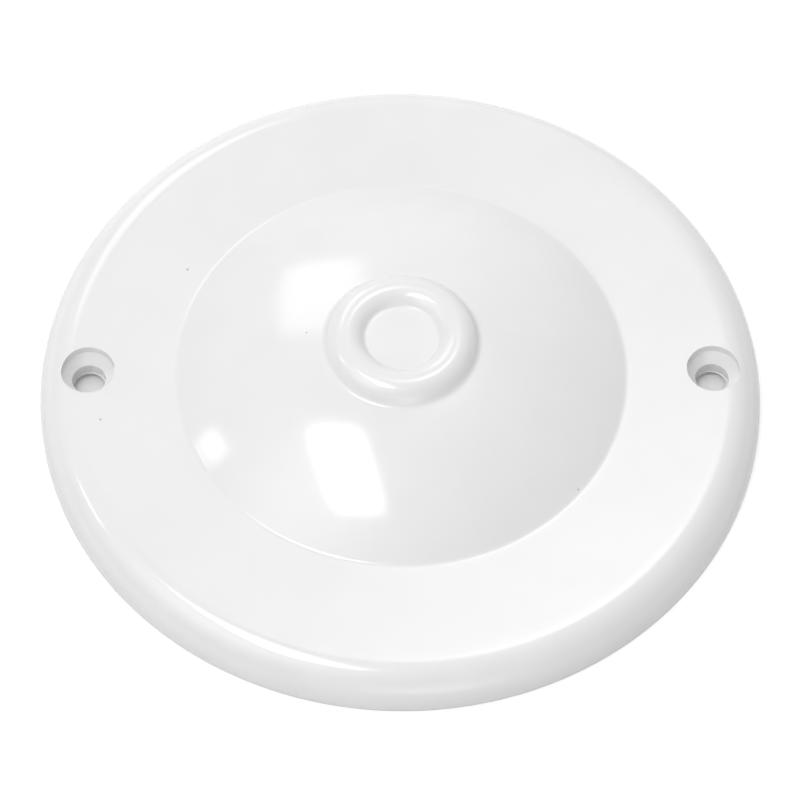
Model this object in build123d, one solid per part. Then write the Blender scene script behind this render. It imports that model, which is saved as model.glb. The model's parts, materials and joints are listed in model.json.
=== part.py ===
"""Ceiling canopy: a round one-piece moulded cover that closes a ceiling outlet box.

A flat flange with a rounded outer edge carries a low spherical dome, and a round bead stands on the crown
around a shallow closed recess. Two countersunk holes near the edge take the fixing screws. The back is
hollow and open, with an even wall over the flange and the dome and a pad behind each screw hole.

Frame: origin at the centre of the seat, the plane that lies against the ceiling. +Z points out of the
domed face, and +X runs along the line of the two screw holes.
"""
import os
from math import sqrt, tan, radians

from build123d import *

# Overall form, in millimetres
OUTER_DIAMETER = 103.0
RIM_HEIGHT = 5.4            # face of the flange above the seat
RIM_LAND = 0.2              # upright edge at the seat, below the rounding of the rim
SEAT_WIDTH = 4.0            # the ring that lies against the ceiling
WALL = 2.5                  # thickness of the flange and the dome

# Dome
DOME_DIAMETER = 64.0        # where the dome meets the face of the flange
DOME_SPHERE_RADIUS = 65.0
DOME_BLEND = 1.5            # hollow rounding at the foot of the dome

# Bead and recess on the crown
BEAD_CENTRE_DIAMETER = 15.7
BEAD_RADIUS = 3.15          # radius of the bead's round section
BEAD_RISE = 1.2             # crest of the bead above the crown of the dome
BEAD_BLEND = 1.0            # hollow rounding at the bead's outer foot, on the dome
RECESS_BLEND = 0.7          # hollow rounding at its inner foot, on the floor of the recess
RECESS_DEPTH = 1.35         # crest of the bead down to the closed floor

# Screw holes
HOLE_EDGE_DISTANCE = 7.05   # hole centre to outer edge: the holes lie 88.9 apart, as on an outlet box
SCREW_DIAMETER = 4.2
SCREW_CLEARANCE = 0.6       # added to the screw's diameter
HEAD_DIAMETER = 7.6         # mouth of the hole, around the screw's head
HEAD_LAND = 1.2             # straight part of the mouth, above the conical seat
CONE_ANGLE = 90.0           # full angle of the conical seat
PAD_WALL = 2.0              # material around the bore, behind the flange
PAD_SETBACK = 0.8           # back of the pad above the seat

# Sizes that follow from the ones above
OUTER_RADIUS = OUTER_DIAMETER / 2
RIM_ROUND = RIM_HEIGHT - RIM_LAND
DOME_CENTRE_Z = RIM_HEIGHT - sqrt(DOME_SPHERE_RADIUS ** 2 - (DOME_DIAMETER / 2) ** 2)
CREST_Z = DOME_CENTRE_Z + DOME_SPHERE_RADIUS + BEAD_RISE
BEAD_CENTRE_RADIUS = BEAD_CENTRE_DIAMETER / 2
BEAD_CENTRE_Z = CREST_Z - BEAD_RADIUS
RECESS_FLOOR_Z = CREST_Z - RECESS_DEPTH
HOLE_X = OUTER_RADIUS - HOLE_EDGE_DISTANCE
BORE_RADIUS = (SCREW_DIAMETER + SCREW_CLEARANCE) / 2
HEAD_RADIUS = HEAD_DIAMETER / 2
CONE_DEPTH = (HEAD_RADIUS - BORE_RADIUS) / tan(radians(CONE_ANGLE / 2))
PAD_RADIUS = BORE_RADIUS + PAD_WALL

UPWARDS = (Align.CENTER, Align.CENTER, Align.MIN)
DOWNWARDS = (Align.CENTER, Align.CENTER, Align.MAX)


def cap(inset):
    """The dome down to the seat, moved inwards by inset. The ball lies with its poles off the dome."""
    ball = Pos(0, 0, DOME_CENTRE_Z) * Rot(0, 90, 0) * Sphere(DOME_SPHERE_RADIUS - inset)
    return ball & Cylinder(OUTER_RADIUS, CREST_Z, align=UPWARDS)


def domed_flange():
    """Solid form below the face: the flange with its rounded edge, and the dome blended into it."""
    flange = Cylinder(OUTER_RADIUS, RIM_HEIGHT, align=UPWARDS)
    flange = fillet(flange.edges().group_by(Axis.Z)[-1], RIM_ROUND)
    dome = cap(0)
    domed = flange + dome
    return fillet(new_edges(flange, dome, combined=domed), DOME_BLEND)


def crowned(domed):
    """The domed form with a flat floor at the crown and the bead around it, blended in on both sides."""
    floor = Cylinder(BEAD_CENTRE_RADIUS, RECESS_FLOOR_Z, align=UPWARDS)
    recess = Pos(0, 0, RECESS_FLOOR_Z) * Cylinder(BEAD_CENTRE_RADIUS, RECESS_DEPTH, align=UPWARDS)
    levelled = domed + floor - recess
    bead = Pos(0, 0, BEAD_CENTRE_Z) * Torus(BEAD_CENTRE_RADIUS, BEAD_RADIUS)
    beaded = levelled + bead
    outer_foot = new_edges(levelled, bead, combined=beaded).sort_by(SortBy.RADIUS)[-1]
    beaded = fillet(outer_foot, BEAD_BLEND)
    recess_floor = beaded.faces().filter_by(Plane.XY).sort_by(Axis.Z)[-1]
    return fillet(recess_floor.edges(), RECESS_BLEND)


def hollow():
    """The open space behind the flange and the dome, as it is without the pads."""
    space = Cylinder(OUTER_RADIUS - SEAT_WIDTH, RIM_HEIGHT - WALL, align=UPWARDS)
    return space + cap(WALL)


def screw_pad():
    """Pad behind the screw hole at +X, as wide as its round end and tied to the wall of the rim."""
    tie = Rectangle(HOLE_EDGE_DISTANCE, 2 * PAD_RADIUS, align=(Align.MIN, Align.CENTER))
    outline = Circle(PAD_RADIUS) + tie
    return extrude(Pos(HOLE_X, 0, PAD_SETBACK) * outline, RIM_HEIGHT - PAD_SETBACK)


def screw_hole():
    """Countersunk hole at +X: straight mouth, conical seat and bore, open past both faces."""
    mouth = Pos(0, 0, -HEAD_LAND) * Cylinder(HEAD_RADIUS, 2 * HEAD_LAND, align=UPWARDS)
    cone = Pos(0, 0, -HEAD_LAND) * Cone(BORE_RADIUS, HEAD_RADIUS, CONE_DEPTH, align=DOWNWARDS)
    bore = Cylinder(BORE_RADIUS, RIM_HEIGHT, align=DOWNWARDS)
    return Pos(HOLE_X, 0, RIM_HEIGHT) * (mouth + cone + bore)


def both_sides(feature):
    """A feature at +X together with its mirror image at -X."""
    return feature + mirror(feature, about=Plane.YZ)


def canopy():
    """The whole moulding."""
    space = hollow() - both_sides(screw_pad())
    return crowned(domed_flange()) - space - both_sides(screw_hole())


os.makedirs("parts", exist_ok=True)
export_step(canopy(), "parts/canopy.step")
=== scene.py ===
"""Looks of the ceiling canopy: a glossy white moulding that lies dome up on a pale studio sweep."""
import json
from math import acos, asin, atan2, ceil, cos, hypot, log, pi, radians, sin, sqrt

import bmesh
import bpy
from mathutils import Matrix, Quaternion, Vector


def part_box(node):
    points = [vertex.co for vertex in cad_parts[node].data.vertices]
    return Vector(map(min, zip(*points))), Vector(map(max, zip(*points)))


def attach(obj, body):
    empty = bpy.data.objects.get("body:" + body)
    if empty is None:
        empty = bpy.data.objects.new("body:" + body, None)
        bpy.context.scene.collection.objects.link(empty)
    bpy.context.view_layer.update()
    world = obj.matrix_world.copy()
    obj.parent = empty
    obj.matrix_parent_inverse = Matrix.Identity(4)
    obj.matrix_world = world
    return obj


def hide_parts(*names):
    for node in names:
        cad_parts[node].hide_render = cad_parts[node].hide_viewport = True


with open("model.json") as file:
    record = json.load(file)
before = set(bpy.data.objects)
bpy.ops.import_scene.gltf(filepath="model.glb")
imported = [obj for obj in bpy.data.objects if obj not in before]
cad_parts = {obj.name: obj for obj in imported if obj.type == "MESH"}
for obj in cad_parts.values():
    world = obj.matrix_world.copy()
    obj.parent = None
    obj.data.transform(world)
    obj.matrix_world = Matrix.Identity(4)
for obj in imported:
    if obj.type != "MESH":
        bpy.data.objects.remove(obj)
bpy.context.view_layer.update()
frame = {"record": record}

MM = 0.001

# Sizes that the frame gives, in millimetres
SCREW_HOLES = next(m for m in frame["record"]["mounts"] if m["name"] == "screw_holes")
NODE_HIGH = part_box("canopy")[1] / MM
OUTER_RADIUS = NODE_HIGH.x
CREST_Z = NODE_HIGH.z
HOLE_X = SCREW_HOLES["dims"]["spacing_x_mm"] / 2
BORE_RADIUS = SCREW_HOLES["dims"]["hole_r_mm"]
PAD_BACK_Z = SCREW_HOLES["pos_m"][2] / MM

# Sizes of the moulding's forms, as in the part's source, in millimetres
RIM_HEIGHT = 5.4
RIM_LAND = 0.2
SEAT_WIDTH = 4.0
WALL = 2.5
DOME_RADIUS = 32.0
DOME_SPHERE_RADIUS = 65.0
DOME_BLEND = 1.5
BEAD_CENTRE_RADIUS = 7.85
BEAD_RADIUS = 3.15
BEAD_BLEND = 1.0
RECESS_BLEND = 0.7
RECESS_DEPTH = 1.35
HEAD_RADIUS = 3.8
HEAD_LAND = 1.2
CONE_DEPTH = HEAD_RADIUS - BORE_RADIUS
PAD_WALL = 2.0
DOME_CENTRE_Z = RIM_HEIGHT - sqrt(DOME_SPHERE_RADIUS ** 2 - DOME_RADIUS ** 2)

# Soft edges and flash that only the eye notices, in millimetres
SEAT_EDGE = 0.2             # rounding of the inner edge of the seat
ROOF_CORNER = 0.4           # hollow rounding between the rim's wall and the back of the flange
LIP_WIDTH = 0.15            # thin flash at the lower end of each bore
LIP_THICKNESS = 0.2

# Dark specks in the face, in millimetres: place along X and Y, radius
SPECKS = [
    (-30.71, 17.17, 0.22),
    (-42.33, -8.29, 0.20),
    (-13.34, 1.65, 0.17),
    (24.46, -20.05, 0.16),
]

# Finish of the white plastic, lengths in millimetres
WHITE = (0.85, 0.87)        # lowest and highest base colour
MOTTLE_SIZE = 9.0
ROUGHNESS = (0.09, 0.12)
POLISH_SIZE = 14.0
WAVE_SIZE = 4.5
WAVE_HEIGHT = 0.004
SPECK_DEPTH = 0.45          # share of the colour that a speck takes away
SPECK_CORE = 0.5            # share of a speck's radius that has its full depth
FIELD_RANGE = (0.3, 0.7)    # middle range of the noise
FIELD_DETAIL = 2.0

# Camera: angles in degrees, lengths in millimetres, focal length in pixels of the photograph
VIEW_AZIMUTH = -1.48
VIEW_ELEVATION = 57.95
VIEW_ROLL = 1.11
VIEW_DISTANCE = 480.0
VIEW_TARGET = Vector((-0.198, -5.18, RIM_HEIGHT))
FOCAL_PIXELS = 3399.0
IMAGE_WIDTH = 800
CLIP_START = 10.0

# Floor and backdrop, lengths in millimetres
SWEEP_RADIUS = 3000.0
SWEEP_RISE = 350.0
SWEEP_COLUMNS = 96
SWEEP_STEPS = 12
FLOOR_COLOUR = 0.7
FLOOR_WHITE = 0.75          # part of the seen floor's white that no shadow dims
HOLE_PAINTED_GLOW = 0.1            # painted glow that lightens the shaded floor under the object, seen through the screw holes
SHADOW_SHARE = 0.3          # part that the light and the object's shadow make

# Lamps: angles in degrees, lengths in metres, lean of the sides and softness of the edges as shares of half
# the lamp's size
LAMP_DISTANCE = 1.0
LAMP_ROUNDING = 5           # power of the rounded outline: 2 is an ellipse, a high one nearly a rectangle
LAMPS = {
    "overhead": {
        "azimuth": -109.0, "elevation": 75.4, "spin": 5.0, "width": 0.52, "height": 0.295,
        "lean": 0.22, "softness": 0.2, "radiance": 6.0,
    },
    "back_left": {
        "azimuth": -20.8, "elevation": 37.6, "spin": 24.8, "width": 0.37, "height": 0.53,
        "lean": 0.0, "softness": 0.4, "radiance": 2.6,
    },
    "left": {
        "azimuth": -78.7, "elevation": 40.6, "spin": 50.9, "width": 0.145, "height": 0.22,
        "lean": 0.0, "softness": 0.6, "radiance": 5.5,
    },
}

# Light of the studio's walls: level all round, then soft areas as azimuth, elevation, sharpness, level
WALL_LEVEL = 0.12
WALL_GLOWS = {
    "high_back": (18, 66, 100, 6.0),
    "front_left": (-120, 60, 15, 2.5),
    "low_front": (172, 12, 15, 2.5),
    "low_back": (10, 16, 6, 1.2),
    "above_right": (60, 78, 20, 0.3),
}

# Fineness of the meshes
COLUMNS = 288
HOLE_COLUMNS = 96
RING_SPACING = 0.4
ARC_STEPS = 6               # fewest steps in a rounded corner
CREASE_ANGLE = radians(25)  # sharper edges stay crisp


def toward(start, aim, distance):
    """The point at a distance from start, on the way to aim."""
    return start + (aim - start).normalized() * distance


def line(start, end):
    """Points from start to end, without the end."""
    steps = max(1, ceil((end - start).length / (2 * RING_SPACING)))
    return [start.lerp(end, i / steps) for i in range(steps)]


def turn(centre, start, end):
    """Points on the shorter arc about a centre from start to end, without the end."""
    first, last = start - centre, end - centre
    swing = -first.angle_signed(last)
    steps = max(ARC_STEPS, ceil(abs(swing) * first.length / RING_SPACING))
    angle = atan2(first.y, first.x)
    return [
        centre + first.length * Vector((cos(angle + swing * i / steps), sin(angle + swing * i / steps)))
        for i in range(steps)
    ]


def corner_angle(side, other_side, opposite):
    """Angle between two sides of a triangle, from the third side."""
    return acos((side ** 2 + other_side ** 2 - opposite ** 2) / (2 * side * other_side))


def moulding_section():
    """Half-section of the shell as (radius, height): over the face from the axis, then back inside."""
    rim_round = RIM_HEIGHT - RIM_LAND
    floor_z = CREST_Z - RECESS_DEPTH
    roof_z = RIM_HEIGHT - WALL
    wall_radius = OUTER_RADIUS - SEAT_WIDTH
    dome = Vector((0, DOME_CENTRE_Z))
    bead = Vector((BEAD_CENTRE_RADIUS, CREST_Z - BEAD_RADIUS))
    rim = Vector((OUTER_RADIUS - rim_round, RIM_LAND))

    # Centres of the hollow roundings at the bead's two feet and at the foot of the dome
    inner_z = floor_z + RECESS_BLEND
    inner = Vector((bead.x - sqrt((BEAD_RADIUS + RECESS_BLEND) ** 2 - (inner_z - bead.y) ** 2), inner_z))
    far = DOME_SPHERE_RADIUS + BEAD_BLEND
    apart = (bead - dome).length
    lean = asin(bead.x / apart) + corner_angle(far, apart, BEAD_RADIUS + BEAD_BLEND)
    outer = dome + far * Vector((sin(lean), cos(lean)))
    foot_z = RIM_HEIGHT + DOME_BLEND
    foot = Vector((sqrt((DOME_SPHERE_RADIUS + DOME_BLEND) ** 2 - (foot_z - dome.y) ** 2), foot_z))

    bead_inside = toward(bead, inner, BEAD_RADIUS)
    bead_outside = toward(bead, outer, BEAD_RADIUS)
    dome_start = toward(dome, outer, DOME_SPHERE_RADIUS)
    dome_end = toward(dome, foot, DOME_SPHERE_RADIUS)
    face = line(Vector((0, floor_z)), Vector((inner.x, floor_z)))
    face += turn(inner, Vector((inner.x, floor_z)), bead_inside)
    face += turn(bead, bead_inside, bead_outside)
    face += turn(outer, bead_outside, dome_start)
    face += turn(dome, dome_start, dome_end)
    face += turn(foot, dome_end, Vector((foot.x, RIM_HEIGHT)))
    face += line(Vector((foot.x, RIM_HEIGHT)), Vector((rim.x, RIM_HEIGHT)))
    face += turn(rim, Vector((rim.x, RIM_HEIGHT)), Vector((OUTER_RADIUS, rim.y)))

    outer_edge = Vector((OUTER_RADIUS - RIM_LAND, RIM_LAND))
    inner_edge = Vector((wall_radius + SEAT_EDGE, SEAT_EDGE))
    corner = Vector((wall_radius - ROOF_CORNER, roof_z - ROOF_CORNER))
    inner_dome_end = toward(dome, foot, DOME_SPHERE_RADIUS - WALL)
    back = turn(outer_edge, Vector((OUTER_RADIUS, RIM_LAND)), Vector((outer_edge.x, 0)))
    back += line(Vector((outer_edge.x, 0)), Vector((inner_edge.x, 0)))
    back += turn(inner_edge, Vector((inner_edge.x, 0)), Vector((wall_radius, SEAT_EDGE)))
    back += line(Vector((wall_radius, SEAT_EDGE)), Vector((wall_radius, corner.y)))
    back += turn(corner, Vector((wall_radius, corner.y)), Vector((corner.x, roof_z)))
    back += line(Vector((corner.x, roof_z)), Vector((foot.x, roof_z)))
    back += turn(foot, Vector((foot.x, roof_z)), inner_dome_end)
    apex = Vector((0, dome.y + DOME_SPHERE_RADIUS - WALL))
    back += turn(dome, inner_dome_end, apex)
    return face + back + [apex]


def lathe(name, section, columns, axis_x=0.0):
    """A surface turned about an upright axis. A section that starts and ends on that axis makes a solid."""
    mesh = bmesh.new()
    rings = []
    for radius, height in section:
        count = columns if radius > 0 else 1
        turns = [2 * pi * (k + 0.5) / columns for k in range(count)]
        rings.append([mesh.verts.new((axis_x + radius * cos(a), radius * sin(a), height)) for a in turns])
    for upper, lower in zip(rings, rings[1:]):
        for k in range(columns):
            n = (k + 1) % columns
            above = [upper[n % len(upper)], upper[k % len(upper)]]
            below = [lower[k % len(lower)], lower[n % len(lower)]]
            mesh.faces.new(dict.fromkeys(above + below))
    bmesh.ops.scale(mesh, vec=(MM, MM, MM), verts=mesh.verts)
    bmesh.ops.recalc_face_normals(mesh, faces=mesh.faces)
    return as_object(name, mesh)


def as_object(name, mesh):
    """A new object in the scene that holds the mesh."""
    data = bpy.data.meshes.new(name)
    mesh.to_mesh(data)
    mesh.free()
    piece = bpy.data.objects.new(name, data)
    bpy.context.scene.collection.objects.link(piece)
    return piece


def screw_pad(side):
    """Solid pad behind a screw hole: a round end with straight sides that run into the rim's ring."""
    radius = BORE_RADIUS + PAD_WALL
    tie_end = OUTER_RADIUS - SEAT_WIDTH / 2
    half = HOLE_COLUMNS // 2
    turns = [pi / 2 + pi * k / half for k in range(half + 1)]
    outline = [(HOLE_X + radius * cos(a), radius * sin(a)) for a in turns]
    outline += [(tie_end, -radius), (tie_end, radius)]
    mesh = bmesh.new()
    base = mesh.faces.new([mesh.verts.new((side * x, y, PAD_BACK_Z)) for x, y in outline])
    raised = bmesh.ops.extrude_face_region(mesh, geom=[base])["geom"]
    top = [v for v in raised if isinstance(v, bmesh.types.BMVert)]
    bmesh.ops.translate(mesh, vec=(0, 0, RIM_HEIGHT - WALL / 2 - PAD_BACK_Z), verts=top)
    bmesh.ops.scale(mesh, vec=(MM, MM, MM), verts=mesh.verts)
    bmesh.ops.recalc_face_normals(mesh, faces=mesh.faces)
    return as_object("screw_pad", mesh)


def screw_hole(side):
    """Solid that cuts a countersunk hole, and leaves the flash at the bore's lower end."""
    land_z = RIM_HEIGHT - HEAD_LAND
    lip_z = PAD_BACK_Z + LIP_THICKNESS
    section = [
        (0, RIM_HEIGHT + HEAD_LAND),
        (HEAD_RADIUS, RIM_HEIGHT + HEAD_LAND),
        (HEAD_RADIUS, land_z),
        (BORE_RADIUS, land_z - CONE_DEPTH),
        (BORE_RADIUS, lip_z),
        (BORE_RADIUS - LIP_WIDTH, lip_z),
        (BORE_RADIUS - LIP_WIDTH, -RIM_HEIGHT),
        (0, -RIM_HEIGHT),
    ]
    return lathe("screw_hole", section, HOLE_COLUMNS, side * HOLE_X)


def combine(body, tool, operation):
    """Joins a solid to the body or cuts it out of it, and removes the tool."""
    step = body.modifiers.new(operation, "BOOLEAN")
    step.operation = operation
    step.object = tool
    step.solver = "EXACT"
    depsgraph = bpy.context.evaluated_depsgraph_get()
    result = bpy.data.meshes.new_from_object(body.evaluated_get(depsgraph))
    body.modifiers.clear()
    body.data = result
    bpy.data.objects.remove(tool)


def moulding():
    """The whole canopy as one closed mesh with smooth faces and crisp hole edges."""
    body = lathe("canopy_moulding", moulding_section(), COLUMNS)
    for side in (-1, 1):
        combine(body, screw_pad(side), "UNION")
        combine(body, screw_hole(side), "DIFFERENCE")
    body.data.shade_smooth()
    body.data.set_sharp_from_angle(angle=CREASE_ANGLE)
    body.data.materials.clear()
    body.data.materials.append(white_gloss())
    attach(body, "root")
    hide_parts("canopy")


def add_node(tree, kind, inputs, **settings):
    """A new node with its settings, and with its inputs linked to sockets or set to values."""
    node = tree.nodes.new("ShaderNode" + kind)
    for name, value in settings.items():
        setattr(node, name, value)
    for key, value in inputs.items():
        if isinstance(value, bpy.types.NodeSocket):
            tree.links.new(value, node.inputs[key])
        else:
            node.inputs[key].default_value = value
    return node


def math(tree, operation, *values):
    """Output of a Math node."""
    return add_node(tree, "Math", dict(enumerate(values)), operation=operation).outputs["Value"]


def noise(tree, place, feature):
    """Soft random field from 0 to 1, with features of the given size in millimetres."""
    inputs = {"Vector": place, "Scale": 1 / (feature * MM), "Detail": FIELD_DETAIL}
    return add_node(tree, "TexNoise", inputs).outputs["Fac"]


def spread(tree, value, source, target, **settings):
    """The value moved from its source range to the target range and held inside it."""
    ends = {"From Min": source[0], "From Max": source[1], "To Min": target[0], "To Max": target[1]}
    return add_node(tree, "MapRange", {"Value": value, **ends}, **settings).outputs["Result"]


def between(tree, field, low, high):
    """The field's middle range spread from low to high."""
    return spread(tree, field, FIELD_RANGE, (low, high))


def face_z(x, y):
    """Height of the flange's face or of the dome above the seat."""
    radius = hypot(x, y)
    if radius > DOME_RADIUS:
        return RIM_HEIGHT
    return DOME_CENTRE_Z + sqrt(DOME_SPHERE_RADIUS ** 2 - radius ** 2)


def speck_field(tree, place):
    """1 in the middle of each dark speck, 0 away from them."""
    total = 0.0
    for x, y, radius in SPECKS:
        centre = Vector((x, y, face_z(x, y))) * MM
        apart = add_node(tree, "VectorMath", {0: place, 1: centre}, operation="DISTANCE").outputs["Value"]
        dot = spread(tree, apart, (SPECK_CORE * radius * MM, radius * MM), (1.0, 0.0))
        total = math(tree, "ADD", total, dot)
    return total


def white_gloss():
    """Glossy white plastic with a faint mottle, a moulding's slight waviness and a few dark specks."""
    material = bpy.data.materials.new("white_gloss")
    material.use_nodes = True
    tree = material.node_tree
    place = add_node(tree, "TexCoord", {}).outputs["Object"]
    clear = math(tree, "MULTIPLY_ADD", speck_field(tree, place), -SPECK_DEPTH, 1.0)
    white = between(tree, noise(tree, place, MOTTLE_SIZE), *WHITE)
    height = noise(tree, place, WAVE_SIZE)
    wave = add_node(tree, "Bump", {"Height": height, "Distance": WAVE_HEIGHT * MM})
    shader = tree.nodes["Principled BSDF"]
    tree.links.new(math(tree, "MULTIPLY", white, clear), shader.inputs["Base Color"])
    tree.links.new(between(tree, noise(tree, place, POLISH_SIZE), *ROUGHNESS), shader.inputs["Roughness"])
    tree.links.new(wave.outputs["Normal"], shader.inputs["Normal"])
    return material


def heading(azimuth, elevation):
    """Unit vector to a place in the studio. Azimuth runs from +Y towards +X, in degrees."""
    a, e = radians(azimuth), radians(elevation)
    return Vector((sin(a) * cos(e), cos(a) * cos(e), sin(e)))


def add_camera():
    """The photograph's view, with the target on the face of the flange."""
    back = heading(180 - VIEW_AZIMUTH, VIEW_ELEVATION)
    data = bpy.data.cameras.new("camera")
    data.lens = data.sensor_width * FOCAL_PIXELS / IMAGE_WIDTH
    data.clip_start = CLIP_START * MM
    camera = bpy.data.objects.new("camera", data)
    bpy.context.scene.collection.objects.link(camera)
    camera.location = (VIEW_TARGET + VIEW_DISTANCE * back) * MM
    camera.rotation_mode = "QUATERNION"
    roll = Quaternion((0, 0, 1), radians(VIEW_ROLL))
    camera.rotation_quaternion = (-back).to_track_quat("-Z", "Y") @ roll
    bpy.context.scene.camera = camera


def add_sweep():
    """Pale round floor whose far edge turns up, so that it is also the backdrop of a low view."""
    bend = Vector((SWEEP_RADIUS - SWEEP_RISE, SWEEP_RISE))
    rises = [pi / 2 * k / SWEEP_STEPS for k in range(SWEEP_STEPS + 1)]
    section = [Vector((0, 0))]
    section += [bend + SWEEP_RISE * Vector((sin(a), -cos(a))) for a in rises]
    sweep = lathe("sweep", section, SWEEP_COLUMNS)
    sweep.data.shade_smooth()
    sweep.data.materials.append(pale_sweep())


def pale_sweep():
    """Pale matt floor. Looked at or mirrored, it is close to white and keeps a faint shadow.

    Under the object it stays much darker, so the screw holes look deep, and a faint painted glow lightens
    its shade as seen through the screw holes.
    """
    material = bpy.data.materials.new("pale_sweep")
    material.use_nodes = True
    tree = material.node_tree
    ray = add_node(tree, "LightPath", {}).outputs
    looked_at = math(tree, "MAXIMUM", ray["Is Camera Ray"], ray["Is Glossy Ray"])
    looked_at = math(tree, "MAXIMUM", looked_at, ray["Is Transmission Ray"])
    place = add_node(tree, "NewGeometry", {}).outputs["Position"]
    flat = add_node(tree, "VectorMath", {0: place, 1: (1, 1, 0)}, operation="MULTIPLY").outputs["Vector"]
    radius = add_node(tree, "VectorMath", {0: flat}, operation="LENGTH").outputs["Value"]
    open_floor = math(tree, "GREATER_THAN", radius, OUTER_RADIUS * MM)
    share = spread(tree, open_floor, (0.0, 1.0), (FLOOR_COLOUR, SHADOW_SHARE))
    # under the object the emission is a painted glow that lightens the shade seen through the screw holes
    white = spread(tree, open_floor, (0.0, 1.0), (HOLE_PAINTED_GLOW, FLOOR_WHITE))
    plain = add_node(tree, "BsdfDiffuse", {"Color": (FLOOR_COLOUR,) * 3 + (1,)})
    shaded = add_node(tree, "BsdfDiffuse", {"Color": share})
    glow = add_node(tree, "Emission", {"Strength": white})
    seen = add_node(tree, "AddShader", {0: shaded.outputs[0], 1: glow.outputs[0]})
    mix = add_node(tree, "MixShader", {0: looked_at, 1: plain.outputs[0], 2: seen.outputs[0]})
    tree.links.new(mix.outputs[0], tree.nodes["Material Output"].inputs["Surface"])
    return material


def add_lamp(name, azimuth, elevation, spin, width, height, lean, softness, radiance):
    """Flat soft lamp that faces the object. Spin turns it, seen from the object, anticlockwise."""
    data = bpy.data.lights.new(name, "AREA")
    data.shape = "RECTANGLE"
    data.size = width * (1 + lean)
    data.size_y = height
    data.energy = radiance * pi * data.size * data.size_y
    soften_edges(data, lean, softness)
    lamp = bpy.data.objects.new(name, data)
    bpy.context.scene.collection.objects.link(lamp)
    away = heading(azimuth, elevation)
    lamp.location = LAMP_DISTANCE * away
    lamp.rotation_mode = "QUATERNION"
    turned = Quaternion((0, 0, 1), radians(-spin))
    lamp.rotation_quaternion = away.to_track_quat("Z", "Y") @ turned


def soften_edges(data, lean, softness):
    """Gives a lamp rounded corners and two leaning sides, and lets it fade out towards its edges."""
    data.use_nodes = True
    tree = data.node_tree
    spot = add_node(tree, "NewGeometry", {}).outputs["Parametric"]
    centred = {0: spot, 1: (2, 2, 0), 2: (-1, -1, 0)}
    spot = add_node(tree, "VectorMath", centred, operation="MULTIPLY_ADD").outputs["Vector"]
    part = add_node(tree, "SeparateXYZ", {0: spot}).outputs
    across = math(tree, "MULTIPLY_ADD", part["Y"], -lean, math(tree, "MULTIPLY", part["X"], 1 + lean))
    total = 0.0
    for offset in (across, part["Y"]):
        power = math(tree, "POWER", math(tree, "ABSOLUTE", offset), LAMP_ROUNDING)
        total = math(tree, "ADD", power, total)
    reach = math(tree, "POWER", total, 1 / LAMP_ROUNDING)
    fade = spread(tree, reach, (1 - softness, 1.0), (1.0, 0.0), interpolation_type="SMOOTHSTEP")
    tree.links.new(fade, tree.nodes["Emission"].inputs["Strength"])


def add_studio_walls():
    """Soft light from all round, with brighter areas that fade out gently."""
    world = bpy.data.worlds.new("studio")
    bpy.context.scene.world = world
    world.use_nodes = True
    tree = world.node_tree
    direction = add_node(tree, "TexCoord", {}).outputs["Generated"]
    level = WALL_LEVEL
    for azimuth, elevation, sharpness, strength in WALL_GLOWS.values():
        pair = {0: direction, 1: heading(azimuth, elevation)}
        nearness = add_node(tree, "VectorMath", pair, operation="DOT_PRODUCT").outputs["Value"]
        fade = math(tree, "MULTIPLY_ADD", nearness, sharpness, log(strength) - sharpness)
        level = math(tree, "ADD", math(tree, "EXPONENT", fade), level)
    background = tree.nodes["Background"]
    background.inputs["Color"].default_value = (1, 1, 1, 1)
    tree.links.new(level, background.inputs["Strength"])


moulding()
add_camera()
add_sweep()
for name, settings in LAMPS.items():
    add_lamp(name, **settings)
add_studio_walls()
bpy.context.scene.view_settings.view_transform = "Standard"
